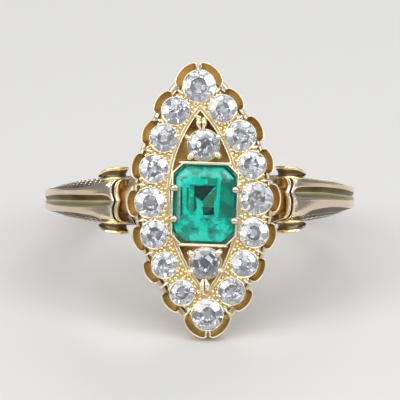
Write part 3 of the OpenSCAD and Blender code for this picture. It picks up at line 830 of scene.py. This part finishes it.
def collets():
    """The cup and the thin setting edge of every border stone."""
    shape = Shape()
    for centre, r in BORDER:
        profile = [(r * 0.62, -r * 0.8), (r * 0.9, -r * 0.3), (r + 0.05, -0.08), (r + 0.06, 0.0),
                   (r + 0.045, 0.05), (r + 0.01, 0.06), (r - 0.025, 0.045), (r, 0.01), (r, -0.03),
                   (r * 0.6, -r * 0.55)]
        shape.lathe(profile, (*centre, GIRDLE_Z))
    return shape


# A prong: half its spread, its place outside the stone's edge and above the girdle, and how far
# outside the notch it aims
PRONG_HALF, PRONG_OUT, PRONG_UP, PRONG_AIM = 24, 0.02, 0.09, 0.52
# The post at a notch, from its foot: distance outside the line of the stones, and height
POST_ROWS = [(0.87, RAIL_TOP - 0.1), (0.95, RIM_Z - 0.2), (0.9, GIRDLE_Z - 0.25),
             (0.62, GIRDLE_Z + 0.02), (0.4, GIRDLE_Z + 0.06)]
# How far the bars of a tip start inside the rail's end and bend inside the petals' edge
TIP_FOOT, TIP_BEND = 0.25, 0.17


def notch_claws(shape, a, ra, b, rb):
    """The post between two border stones and the prong on each of them."""
    along = (b - a).normalized()
    out = Vector((-along.y, along.x))
    if out.dot(a + b) < 0:
        out.negate()
    notch = (a + b) / 2
    for centre, r in ((a, ra), (b, rb)):
        aim = notch + out * PRONG_AIM - centre
        turn = atan2(aim.y, aim.x)
        path = [Vector((*(centre + polar(turn + radians(PRONG_HALF) * t) * (r + PRONG_OUT)),
                        GIRDLE_Z + PRONG_UP)) for t in spread(-1, 1, 9)]
        shape.tube(path, swelling(0.02, 0.075))
    path = smooth_path([Vector((*(notch + out * far), z)) for far, z in POST_ROWS], 6)
    shape.tube(path, swelling(0.07, 0.1))


def tip_bars(shape, centre, r):
    """The fork of two bars that climbs a tip of the head and holds its stone."""
    up = copysign(1, centre.y)
    foot = BORDER_L + RAIL_OUT - TIP_FOOT - abs(centre.y)
    bend = r + PETAL_OUT - TIP_BEND
    for s in (-1, 1):
        path = [Vector((centre.x + s * x, centre.y + up * out, z)) for x, out, z in
                ((0.16, foot, RAIL_TOP), (0.15, bend, RIM_Z + 0.1), (0.12, bend - 0.14, GIRDLE_Z - 0.12),
                 (0.07, r - 0.02, GIRDLE_Z + 0.1))]
        shape.tube(smooth_path(path, 14), lambda u: 0.085 - 0.02 * u)


def border_claws():
    """Prongs that hug the stones at each notch, a fine post there, and the bars of the two tips."""
    shape = Shape()
    for k in range(COUNT):
        notch_claws(shape, *BORDER[k], *BORDER[(k + 1) % COUNT])
    for k in (0, COUNT // 2):
        tip_bars(shape, *BORDER[k])
    return shape


# The field's edge, the wells' edge, the line inside which no grain stands, and a stone's gap
FIELD_LINE = wide_outline(0.62)
WELL_LINE = navette(WELL_W, WELL_L)
WELL_EDGE = navette(WELL_W + 0.26, WELL_L + 0.4)
FIELD_GAP = 0.02


def field():
    """The plate between the border and the inner walls, open at each stone and over the wells."""
    shape = Shape()
    openings = [circle(centre, r + FIELD_GAP, 40) for centre, r in BORDER]
    verts, faces = filled([FIELD_LINE, WELL_LINE] + openings)
    kept = [face for face, middle in faces
            if inside(FIELD_LINE, *middle) and not inside(WELL_LINE, *middle)
            and all((middle - centre).length > r + FIELD_GAP / 2 for centre, r in BORDER)]
    shape.add(level(verts, FIELD_Z), kept)
    shape.band(WELL_LINE, FIELD_Z, FLOOR_TOP)
    return shape


def back_plate():
    """The plate that closes the head below, with a short tube up from its hole under every stone."""
    shape = Shape()
    outer = wide_outline(WALL_OUT - WALL_T / 2)
    window = [tuple(at_emerald(x, y).xy) for x, y in
              emerald_outline(EMERALD_W * HOLE_SHARE, EMERALD_L - EMERALD_W * (1 - HOLE_SHARE),
                              CORNER * HOLE_SHARE)]
    holes = [(circle(centre, r * HOLE_SHARE, 24), z - r / 2)
             for stones, z in ((BORDER, GIRDLE_Z), (INNER, INNER_Z)) for centre, r in stones]
    holes.append((window, FLOOR_TOP))
    verts, faces = filled([outer] + [hole for hole, _ in holes])
    kept = [face for face, middle in faces
            if inside(outer, *middle) and not any(inside(hole, *middle) for hole, _ in holes)]
    # Its top, the floor of the wells, takes the recess gold as painted shade
    shape.add(level(verts, FLOOR_TOP), kept, flat=True, tones=1)
    shape.add(level(verts, FLOOR_Z), [face[::-1] for face in kept], flat=True)
    for hole, top in holes:
        shape.band(hole, FLOOR_Z, top)
    return shape


# Grains: places tried and half the sides of their area, then radii, flatness and lean
GRAIN_TRIES, GRAIN_X, GRAIN_Y = 14000, 4, 7.4
GRAIN_R, GRAIN_SQUASH, GRAIN_LEAN = (0.09, 0.14), (0.7, 1.1), 0.3
# Least distances from stones and each other as shares of the radii, and heights by stones and away
GRAIN_CLEAR, GRAIN_APART = 0.25, 0.8
GRAIN_NEAR, GRAIN_UP = 0.1, 0.02


def grains():
    """Raised grains that fill the field and lean on the stones, as in thread and bead setting."""
    shape = Shape()
    placed = []
    for _ in range(GRAIN_TRIES):
        x, y = rng.uniform(-GRAIN_X, GRAIN_X), rng.uniform(-GRAIN_Y, GRAIN_Y)
        if not inside(FIELD_LINE, x, y) or inside(WELL_EDGE, x, y):
            continue
        size = rng.uniform(*GRAIN_R)
        p = Vector((x, y))
        near = min((p - centre).length - r for centre, r in BORDER)
        if near < size * GRAIN_CLEAR:
            continue
        if any((p - q).length < (size + s) * GRAIN_APART for q, s in placed):
            continue
        placed.append((p, size))
        z = FIELD_Z + (GRAIN_NEAR if near < size else GRAIN_UP)
        shape.ball((x, y, z), size, rng.uniform(*GRAIN_SQUASH), 7, 5,
                   (rng.uniform(-GRAIN_LEAN, GRAIN_LEAN), rng.uniform(-GRAIN_LEAN, GRAIN_LEAN), 1))
    return shape


# Walls outside the wells' edge: distance at sides and tips, top above the field, thickness, height
WELL_WALLS = [(0, 0, 0.12, 0.09, FIELD_Z + 0.12 - FLOOR_TOP), (0.17, 0.3, 0.08, 0.08, 0.2)]
# The emerald's frame: how far its middle lies outside the edge, its top and its thickness
FRAME_OVER, FRAME_TOP, FRAME_THICK = 0.1, INNER_Z + 0.07, 0.13


def wall(shape, path, thick, height):
    """A closed upright wall below a path, with a rounded top."""
    half = thick / 2
    shape.moulding(path, [(half, -height), (half, -0.3 * thick), (0.7 * half, 0), (0, 0.2 * thick),
                          (-0.7 * half, 0), (-half, -0.3 * thick), (-half, -height)])


def inner_walls():
    """The thin upright walls round the wells and the emerald, each with a rounded edge."""
    shape = Shape()
    for wide, far, top, thick, height in WELL_WALLS:
        outline = navette(WELL_W + wide, WELL_L + far, 60)
        wall(shape, level(outline, FIELD_Z + top), thick, height)
    corners = emerald_outline(EMERALD_W + 2 * FRAME_OVER, EMERALD_L + 2 * FRAME_OVER, CORNER)
    path = []
    for p, q in zip(corners, corners[1:] + corners[:1]):
        path += [at_emerald(*p, FRAME_TOP), at_emerald((p[0] + q[0]) / 2, (p[1] + q[1]) / 2, FRAME_TOP)]
    wall(shape, path, FRAME_THICK, FRAME_TOP - FLOOR_TOP)
    return shape


def claw(shape, foot, tip, z, r):
    """An upright claw that bends over a stone's edge and ends in a round pad."""
    path = [Vector((*foot, FLOOR_Z + FLOOR_T / 2)), Vector((*foot, z - 0.15)),
            Vector((*foot.lerp(tip, 0.25), z + 0.1)), Vector((*tip, z + 0.16))]
    shape.tube(smooth_path(path, 6), lambda u: r * (1.05 - 0.2 * u), sides=10)
    shape.ball((*tip, z + 0.15), r * 0.95, 0.75, sides=12, rings=7)


# Claws of an inner diamond: turn from its outward side in degrees, and radius
INNER_CLAWS = [(62, 0.17), (-62, 0.17), (127, 0.22), (-127, 0.22)]
# How far outside a stone's edge the feet and the tips of claws lie, here and at the emerald
INNER_REACH, EMERALD_REACH = (0.16, 0.03), (0.1, -0.05)
# Half of its split claw from the foot: distance from the slit, distance outside the edge, height
SPLIT_ROWS = [(0.17, 0.62, FLOOR_TOP), (0.17, 0.62, INNER_Z - 0.1), (0.17, 0.52, INNER_Z + 0.08),
              (0.17, 0.3, INNER_Z + 0.16), (0.07, -0.02, INNER_Z + 0.12)]
# How far to the side the slit lies, the radius of a half, and where and how fast it gets thinner
SPLIT_X, SPLIT_R, SPLIT_THIN, SPLIT_LOSS = -0.1, 0.165, 0.7, 0.36
# The twig at its foot: distance to the side and outside the edge, then height and radius
TWIG_ROWS = [(-0.55, 0.86), (-0.35, 0.8), (-0.1, 0.74)]
TWIG_Z, TWIG_R = FIELD_Z + 0.14, 0.09
# The bars between inner diamonds and emerald: distance outside its edge, half lengths of the upper
# and the lower, radius, height as a share of the width, and depth
BAR_OUT, BAR_HALVES, BAR_R, BAR_TALL, BAR_DEEP = 0.16, (1.62, 1.5), 0.1, 2.2, 0.1


def inner_mounts():
    """Cups and claws of the two inner diamonds. The outward claw of each is split in two."""
    shape = Shape()
    for (centre, r), up, reach in zip(INNER, (1, -1), BAR_HALVES):
        shape.lathe([(r * 0.62, FLOOR_TOP - INNER_Z - 0.05), (r * 0.86, -0.3), (r + 0.03, -0.05),
                     (r + 0.045, 0.0), (r + 0.02, 0.03), (r - 0.02, 0.0), (r * 0.6, -0.35)],
                    (*centre, INNER_Z))
        for turn, size in INNER_CLAWS:
            d = polar(radians(90 * up + turn))
            claw(shape, *[centre + d * (r + out) for out in INNER_REACH], INNER_Z, size)
        edge = centre.y + up * r
        for s in (-1, 1):
            path = [Vector((centre.x + SPLIT_X + s * x, edge + up * out, z)) for x, out, z in SPLIT_ROWS]
            shape.tube(smooth_path(path, 7), lambda u: SPLIT_R - SPLIT_LOSS * max(0, u - SPLIT_THIN),
                       sides=12)
        shape.tube([Vector((centre.x + x, edge + up * out, TWIG_Z)) for x, out in TWIG_ROWS], TWIG_R)
        y = up * (EMERALD_L / 2 + BAR_OUT)
        shape.tube([at_emerald(x, y, INNER_Z - BAR_DEEP) for x in spread(-reach, reach, 9)], BAR_R,
                   sides=12, squash=BAR_TALL, up=UP)
    return shape


# The emerald's claws: place on its long sides as a share of its length, height and radius
EMERALD_CLAW_AT, EMERALD_CLAW_Z, EMERALD_CLAW_R = 0.2, INNER_Z + 0.1, 0.23


def emerald_claws():
    """Two claws on each long side of the emerald."""
    shape = Shape()
    for sx in (-1, 1):
        for y in (-EMERALD_L * EMERALD_CLAW_AT, EMERALD_L * EMERALD_CLAW_AT):
            ends = [at_emerald(sx * (EMERALD_W / 2 + out), y).xy for out in EMERALD_REACH]
            claw(shape, *ends, EMERALD_CLAW_Z, EMERALD_CLAW_R)
    return shape


# Stones

def cut_stone(outline, low, high, planes):
    """A convex stone: a prism trimmed by planes, each a normal and its distance from the middle."""
    bm = bmesh.new()
    lower = [bm.verts.new((x, y, low)) for x, y in outline]
    upper = [bm.verts.new((x, y, high)) for x, y in outline]
    n = len(outline)
    bm.faces.new(upper)
    bm.faces.new(list(reversed(lower)))
    for i in range(n):
        j = (i + 1) % n
        bm.faces.new((lower[i], lower[j], upper[j], upper[i]))
    for normal, distance in planes:
        normal = normal.normalized()
        cut = bmesh.ops.bisect_plane(bm, geom=bm.verts[:] + bm.edges[:] + bm.faces[:], dist=1e-5,
                                     plane_co=normal * distance, plane_no=normal, clear_outer=True)
        edges = [e for e in cut["geom_cut"] if isinstance(e, bmesh.types.BMEdge)]
        if len(edges) > 2:
            bmesh.ops.edgeloop_fill(bm, edges=edges)
    bmesh.ops.recalc_face_normals(bm, faces=bm.faces[:])
    bm.verts.index_update()
    verts = [v.co.copy() for v in bm.verts]
    faces = [tuple(v.index for v in f.verts) for f in bm.faces]
    bm.free()
    return verts, faces


# An old cut as shares of the radius, as in the part
TABLE_SHARE = 0.52
CROWN_SHARE = 0.36
GIRDLE_SHARE = 0.06
PAVILION_SHARE = 0.86
MAINS = 8
# The facets of one of its eight parts: slope in degrees, turn in parts, and the reach and height
# of a point on it as shares of the radius. Those of the pavilion have no height
FACETS = [(32, 0, 0.99, GIRDLE_SHARE), (22, 0.5, 1.08 * TABLE_SHARE, CROWN_SHARE), (43.5, 0, 0.98, 0),
          (37, -0.25, 1, GIRDLE_SHARE), (46.5, -0.25, 0.99, 0),
          (37, 0.25, 1, GIRDLE_SHARE), (46.5, 0.25, 0.99, 0)]
# Turn of the pavilion against the crown
PAVILION_TURN = 0.1
# The cutter's unevenness: degrees of slope, how much more of turn, the table's tilt, and the
# culet's depth as a share of the pavilion's
UNEVEN, UNEVEN_TURN, TABLE_TILT, CULET_DEPTH = 2.6, 1.5, 0.02, (0.82, 0.93)
# The outline is read from the solid's points this close to the girdle's height, one in each step
# of degrees, and drawn in a little
RIM_NEAR, RIM_STEP, RIM_SHARE = 0.004, 3, 0.995


def girdle(node, centre, z):
    """Outline of a stone round its centre, from the corners of its solid and their middles."""
    seen = {}
    for p in solid_points(node):
        if abs(p.z - z) < RIM_NEAR:
            q = Vector((p.x - centre.x, p.y - centre.y))
            seen[round(degrees(atan2(q.y, q.x)) / RIM_STEP)] = q
    rim = [seen[key] for key in sorted(seen)]
    outline = []
    for p, q in zip(rim, rim[1:] + rim[:1]):
        middle = (p + q).normalized() * ((p.length + q.length) / 2)
        outline += [p * RIM_SHARE, middle * RIM_SHARE]
    return outline


def old_cut(node, centre, z, r, culet=None):
    """A hand-cut diamond on the outline of its solid: no two facets are quite alike.

    culet is its depth as a share of the pavilion's; the culet facet then takes a near-black material, a
    painted shade for its dark spot.
    """
    def facet(slope, turn, reach, height):
        a = radians(slope + rng.uniform(-UNEVEN, UNEVEN))
        b = turn + radians(rng.uniform(-UNEVEN, UNEVEN) * UNEVEN_TURN)
        up = cos(a) if height else -cos(a)
        return (Vector((sin(a) * cos(b), sin(a) * sin(b), up)),
                (sin(a) * reach + up * height) * r)

    tilt = [rng.uniform(-TABLE_TILT, TABLE_TILT) for _ in range(2)]
    planes = [(Vector((*tilt, 1)), CROWN_SHARE * r)]
    start = rng.uniform(0, pi)
    for i in range(MAINS):
        for slope, turn, reach, height in FACETS:
            angle = start + (i + turn) * 2 * pi / MAINS + (0 if height else PAVILION_TURN)
            planes.append(facet(slope, angle, reach, height))
    depth = PAVILION_SHARE * r * (culet or rng.uniform(*CULET_DEPTH))
    planes.append((Vector((0, 0, -1)), depth))
    verts, faces = cut_stone(girdle(node, centre, z), -r, CROWN_SHARE * r * 1.1, planes)
    # The culet facet takes the second material, the painted shade
    tones = [int(culet is not None and all(verts[i].z < 0.001 - depth for i in face)) for face in faces]
    shape = Shape()
    shape.add([v + Vector((*centre, z)) for v in verts], faces, flat=True, tones=tones)
    return shape


# Painted reflections and shade that show in the emerald, in its own frame in millimetres: tone and
# corners. The first one shows where two lie over each other
PATCHES = [
    (0, [(-0.65, 1.11), (0.66, 1.17), (-0.13, 0.17), (-0.65, 0.49)]),
    (5, [(0.66, 1.0), (-0.13, 0.13), (-0.05, -0.16), (0.57, -0.13)]),
    (0, [(-0.14, -0.17), (0.58, -0.14), (0.61, -0.62), (-0.05, -0.68)]),
    (4, [(0.75, 1.64), (0.95, 1.66), (0.86, -0.78), (0.67, -0.79)]),
    (4, [(-0.5, 0.5), (-0.21, 0.15), (-0.18, -0.52), (-0.43, -0.25)]),
    (1, [(-0.69, 0.46), (-0.52, 0.48), (-0.45, -0.26), (-0.64, -0.5)]),
    (4, [(-1.32, 1.46), (0.13, 1.53), (0.15, 1.24), (-1.3, 1.15)]),
    (2, [(0.15, 1.24), (0.13, 1.53), (0.74, 1.6), (0.73, 1.2)]),
    (2, [(0.97, 1.6), (1.7, 1.55), (1.72, -0.75), (0.88, -0.8)]),
    (3, [(1.25, 1.3), (1.4, 1.3), (1.36, -0.4), (1.22, -0.5)]),
    (2, [(-1.75, 0.9), (-1.5, 0.9), (-1.45, -0.7), (-1.75, -0.9)]),
    (2, [(-1.1, 1.0), (-0.98, 1.0), (-0.95, -0.5), (-1.08, -0.3)]),
    (4, [(-1.6, 1.75), (-1.2, 2.1), (-1.05, 1.85), (-1.45, 1.55)]),
    (1, [(-1.42, 1.0), (-1.32, 1.0), (-1.28, -0.6), (-1.38, -0.8)]),
    (1, [(0.0, -0.85), (0.3, -0.9), (0.2, -1.05)]),
    (4, [(-1.35, -1.0), (-0.75, -1.12), (-1.2, -1.3)]),
    (4, [(-0.6, -1.0), (0.1, -1.2), (-0.45, -1.25)]),
    (4, [(0.45, -0.95), (1.25, -1.0), (0.7, -1.2)]),
    (4, [(0.9, -1.3), (1.55, -1.2), (1.3, -1.6)]),
    (2, [(-0.9, -1.4), (-0.3, -1.5), (-0.7, -1.65)]),
    (2, [(0.2, -1.35), (0.9, -1.55), (0.35, -1.75)]),
    (4, [(-0.85, -1.85), (0.15, -1.95), (0.1, -2.15), (-0.8, -2.1)])]
# Tones of the ground between the patches and of the stone's edge, whose dark tone is painted shade
PATCH_GROUND, PATCH_EDGE = 3, 1
# How far inside the stone the sheet of painted reflections lies, the width of its edge, and its highest
# and lowest place
CORE_IN, CORE_EDGE = 0.06, 0.13
CORE_TOP, CORE_DEEP = -0.1, -0.62


def emerald_painted_reflections():
    """The pavilion of the emerald as its table shows it, on a sheet inside the stone: facets that send
    back light or none, as painted reflections and painted shade.
    """
    shape = Shape()
    w, l = EMERALD_W - 2 * CORE_IN, EMERALD_L - 2 * CORE_IN
    bright = emerald_outline(w - 2 * CORE_EDGE, l - 2 * CORE_EDGE, CORNER)
    verts, faces = filled([emerald_outline(w, l, CORNER), bright] + [corners for _, corners in PATCHES])
    tones = []
    for _, middle in faces:
        ground = PATCH_GROUND if inside(bright, *middle) else PATCH_EDGE
        tones.append(next((tone for tone, corners in PATCHES if inside(corners, *middle)), ground))
    placed = []
    for x, y in verts:
        depth = 1 - max(abs(x) / (w / 2), abs(y) / (l / 2))
        placed.append(at_emerald(x, y, INNER_Z + CORE_TOP + (CORE_DEEP - CORE_TOP) * depth))
    shape.add(placed, [face for face, _ in faces], flat=True, tones=tones)
    return shape


# Assembly
build("hoop", hoop(), UPRIGHT, [ROSY, PAINTED_LIGHT_GOLD, PAINTED_SHADE_GOLD, CHASED, CREAM, DEEP],
      stands_for=("ring_mount",))
build("shoulder_chasing", chasing(), UPRIGHT, [RIM])
build("scrolls", scrolls(), UPRIGHT, [YELLOW, PAINTED_SHADE_GOLD, DEEP])
build("necks", necks(), UPRIGHT, [PETAL])
build("gallery", gallery(), HEAD, [PETAL])
build("petals", petals(), HEAD, [YELLOW, PETAL, RIM])
build("collets", collets(), HEAD, [CREAM])
build("border_claws", border_claws(), HEAD, [CREAM])
build("field", field(), HEAD, [PETAL])
build("back_plate", back_plate(), HEAD, [YELLOW, DEEP])
build("grains", grains(), HEAD, [YELLOW])
build("inner_walls", inner_walls(), HEAD, [CREAM])
build("inner_mounts", inner_mounts(), HEAD, [CREAM])
build("emerald_claws", emerald_claws(), HEAD, [ROSY])
build("emerald_painted_reflections", emerald_painted_reflections(), HEAD, PAINTED_FACET_TONES)

for k, (centre, r) in enumerate(BORDER):
    node = f"border_diamond_{k + 1:02d}"
    build(f"cut_diamond_{k + 1:02d}", old_cut(node, centre, GIRDLE_Z, r), HEAD, [DIAMOND],
          stands_for=(node,))
for node, culet, (centre, r) in (("inner_diamond_upper", 0.86, INNER[0]),
                                ("inner_diamond_lower", 0.74, INNER[1])):
    build(f"cut_{node}", old_cut(node, centre, INNER_Z, r, culet), HEAD, [DIAMOND, PAINTED_CULET_SHADE],
          stands_for=(node,))
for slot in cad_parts["emerald"].material_slots:
    slot.material = EMERALD

# Floor, light and camera, in metres
FLOOR_SIZE = 4.0


def pale_floor():
    """A matt square of paper under the ring."""
    paper = bpy.data.materials.new("pale_floor")
    paper.use_nodes = True
    wired(paper.node_tree.nodes["Principled BSDF"], Base_Color=(0.7, 0.69, 0.67, 1), Roughness=0.6)
    mesh = bpy.data.meshes.new("floor")
    h = FLOOR_SIZE / 2
    mesh.from_pydata([(-h, -h, 0), (h, -h, 0), (h, h, 0), (-h, h, 0)], [], [(0, 1, 2, 3)])
    mesh.materials.append(paper)
    floor = bpy.data.objects.new("floor", mesh)
    bpy.context.scene.collection.objects.link(floor)
    return floor


pale_floor()

# What the camera and the lamps turn to: its height on the upright ring
TARGET_UP = 12.3
TARGET = UPRIGHT @ Vector((0, 0, TARGET_UP))


def place(obj, azimuth, elevation, distance):
    """Puts a lamp or the camera round the target, turned to it. Angles are in degrees."""
    a, e = radians(azimuth), radians(elevation)
    away = Vector((sin(a) * cos(e), -cos(a) * cos(e), sin(e)))
    obj.location = TARGET + away * distance
    obj.rotation_mode = "QUATERNION"
    obj.rotation_quaternion = away.to_track_quat("Z", "Y")
    bpy.context.scene.collection.objects.link(obj)


def softbox(name, azimuth, elevation, distance, size, power, colour=(1, 1, 1)):
    light = bpy.data.lights.new(name, "AREA")
    light.shape = "RECTANGLE"
    light.size, light.size_y = size
    light.energy = power
    light.color = colour
    place(bpy.data.objects.new(name, light), azimuth, elevation, distance)


softbox("top_light", 0, 74, 0.5, (0.62, 0.5), 1.35)
softbox("left_light", -62, 34, 0.5, (0.26, 0.36), 0.95, (1.0, 0.97, 0.93))
softbox("right_light", 60, 30, 0.5, (0.18, 0.34), 0.8, (0.95, 0.97, 1.0))
softbox("back_light", 165, 35, 0.6, (0.4, 0.15), 0.6)
softbox("front_card", 4, 42, 0.45, (0.5, 0.2), 0.4)

bpy.context.scene.view_settings.view_transform = "Standard"
world = bpy.data.worlds.new("studio")
world.use_nodes = True
wired(world.node_tree.nodes["Background"], Color=(0.9, 0.93, 1.0, 1), Strength=0.29)
bpy.context.scene.world = world

# The photo's view: the camera looks down on the tilted ring from almost straight in front
CAMERA_AZIMUTH, CAMERA_ELEVATION, CAMERA_ROLL = -1.33, 22.89, 0.19
CAMERA_DISTANCE = 0.371
IMAGE_SIDE = 400
PX_PER_METRE = 16541
TARGET_PX = (203.8, 200.9)
camera_data = bpy.data.cameras.new("camera")
camera_data.sensor_width = 36
camera_data.lens = PX_PER_METRE * CAMERA_DISTANCE / IMAGE_SIDE * camera_data.sensor_width
camera_data.shift_x = (IMAGE_SIDE / 2 - TARGET_PX[0]) / IMAGE_SIDE
camera_data.shift_y = (TARGET_PX[1] - IMAGE_SIDE / 2) / IMAGE_SIDE
camera_data.clip_start = 0.01
camera = bpy.data.objects.new("camera", camera_data)
place(camera, CAMERA_AZIMUTH, CAMERA_ELEVATION, CAMERA_DISTANCE)
camera.rotation_quaternion @= Matrix.Rotation(radians(CAMERA_ROLL), 3, "Z").to_quaternion()
bpy.context.scene.camera = camera

bpy.context.view_layer.update()
